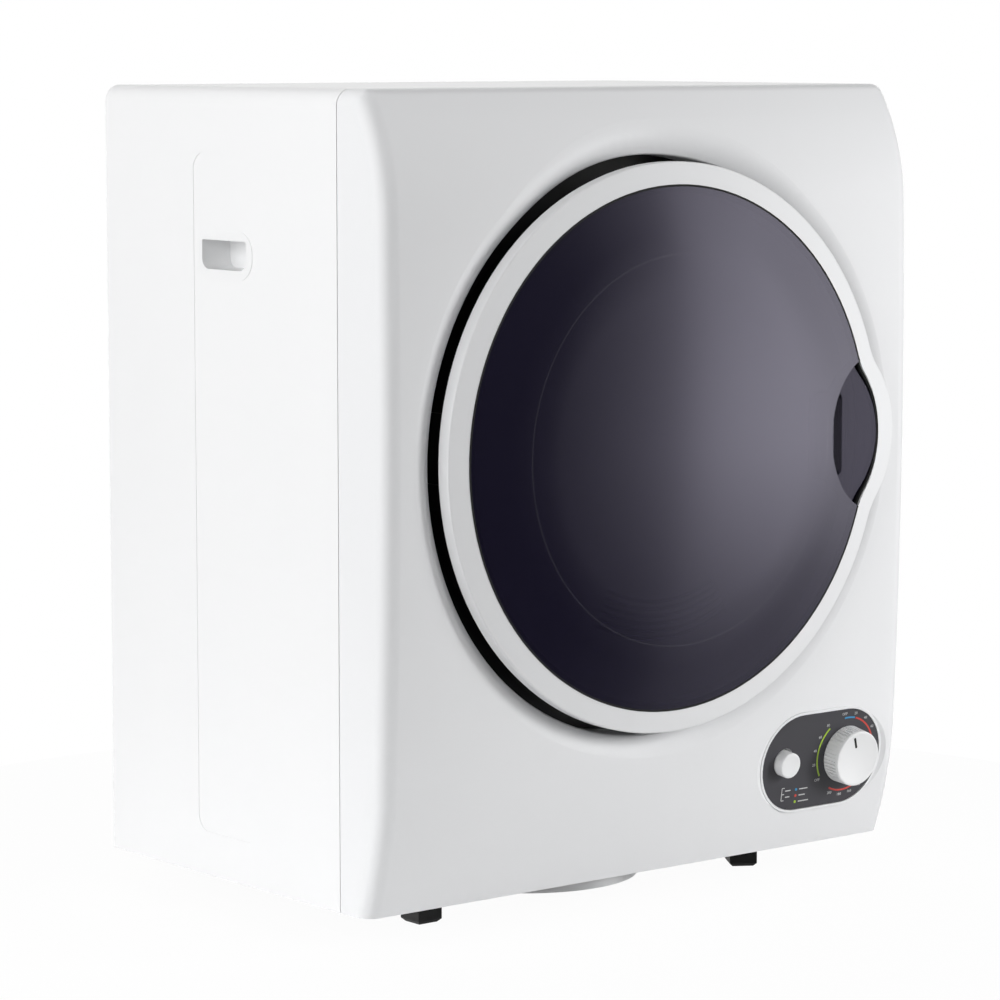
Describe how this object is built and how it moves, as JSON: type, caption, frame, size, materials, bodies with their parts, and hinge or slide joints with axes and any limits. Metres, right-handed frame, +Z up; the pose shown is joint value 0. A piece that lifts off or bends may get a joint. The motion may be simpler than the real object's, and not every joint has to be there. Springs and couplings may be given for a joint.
{
  "type": "clothes dryer",
  "caption": "Compact front-loading vented clothes dryer with a bowed front, large round smoked door, belt-driven drum, rear fan duct, base vent, side handle cups, timer knob and heat button.",
  "frame": {"origin": "centre of the overall box's underside, on the floor between the feet", "axes": "+Z up, front of the machine towards -Y, +X to the viewer's right"},
  "size_m": [0.495, 0.402, 0.595],
  "materials": {
    "white_enamel": "smooth white baked enamel",
    "white_gloss_plastic": "glossy white moulded plastic",
    "white_plastic": "satin white moulded plastic",
    "smoked_plastic": "polished smoked plastic, see-through",
    "charcoal_plastic": "satin charcoal plastic",
    "black_rubber": "matte black",
    "gasket_rubber": "matte grey",
    "belt_rubber": "matte black, ribbed",
    "galvanised_steel": "galvanised sheet",
    "black_enamel": "satin black dip paint",
    "drum_steel": "brushed stainless sheet",
    "bright_steel": "bright turned steel",
    "motor_alloy": "cast alloy",
    "heater_alloy": "finned alloy",
    "bronze": "sintered bronze",
    "grey_plastic": "grey moulded plastic",
    "pale_plastic": "pale moulded plastic",
    "felt": "pressed felt",
    "lint_mesh": "fine mesh",
    "ferrite": "ferrite block"
  },
  "bodies": {
    "cabinet": {"cabinet_wrap": "white_enamel", "rear_panel": "galvanised_steel", "base_pan": "galvanised_steel", "front_panel": "white_gloss_plastic", "front_bulkhead": "black_enamel", "mouth_collar": "black_enamel", "drum_collar": "galvanised_steel", "handle_cup_left": "white_plastic", "handle_cup_right": "white_plastic", "foot_front_left": "black_rubber", "foot_front_right": "black_rubber", "foot_rear_left": "black_rubber", "foot_rear_right": "black_rubber", "foot_screws": "bright_steel", "vent_collar": "galvanised_steel", "vent_grille": "galvanised_steel", "exhaust_duct": "grey_plastic", "rear_duct_cover": "galvanised_steel", "rear_screws": "bright_steel", "cover_screws": "bright_steel", "cord_gland": "black_rubber", "terminal_block": "grey_plastic", "ptc_heater": "heater_alloy", "thermostat": "bright_steel", "motor_housing": "motor_alloy", "motor_bracket": "galvanised_steel", "drive_belt": "belt_rubber", "bearing_bracket": "galvanised_steel", "drum_bearing": "bronze", "drum_glides": "pale_plastic", "drum_felt_seal": "felt", "control_plate": "charcoal_plastic", "timer_module": "grey_plastic", "heat_switch": "grey_plastic", "hinge_bracket": "galvanised_steel", "hinge_pin": "bright_steel", "door_catch": "galvanised_steel"},
    "door": {"door_ring": "white_gloss_plastic", "door_lens": "smoked_plastic", "door_inner_panel": "white_plastic", "door_skirt": "white_plastic", "door_lint_screen": "lint_mesh", "door_gasket": "gasket_rubber", "door_hinge_leaf": "galvanised_steel", "door_magnet": "ferrite"},
    "drum": {"drum_shell": "drum_steel", "drum_back": "drum_steel", "drum_lifter_1": "pale_plastic", "drum_lifter_2": "pale_plastic", "drum_lifter_3": "pale_plastic", "drum_shaft": "bright_steel"},
    "motor_rotor": {"motor_shaft": "bright_steel", "motor_pulley": "motor_alloy", "fan_wheel": "grey_plastic"},
    "timer_dial": {"timer_knob": "white_plastic", "timer_shaft": "bright_steel"},
    "heat_key": {"heat_button": "white_plastic"}
  },
  "joints": [
    {"name": "door_hinge", "type": "hinge", "parent": "cabinet", "child": "door", "pos_m": [-0.193, -0.172, 0.338], "axis": [0, 0, -1], "range_deg": [0, 100]},
    {"name": "drum_spin", "type": "hinge", "parent": "cabinet", "child": "drum", "pos_m": [0, 0, 0.338], "axis": [0, 1, 0], "continuous": true},
    {"name": "motor_spin", "type": "hinge", "parent": "cabinet", "child": "motor_rotor", "pos_m": [-0.165, 0, 0.099], "axis": [0, 1, 0], "continuous": true},
    {"name": "timer_turn", "type": "hinge", "parent": "cabinet", "child": "timer_dial", "pos_m": [0.1933, -0.16182, 0.09179], "axis": [0, -0.9903, -0.1393], "continuous": true},
    {"name": "heat_press", "type": "slide", "parent": "cabinet", "child": "heat_key", "axis": [0, 0.9903, 0.1393], "range_m": [0, 0.004], "stiffness_N_per_m": 400, "springref_m": -0.001}
  ],
  "couplings": [
    {"joint": "motor_spin", "follows": "drum_spin", "ratio": 19.673}
  ]
}
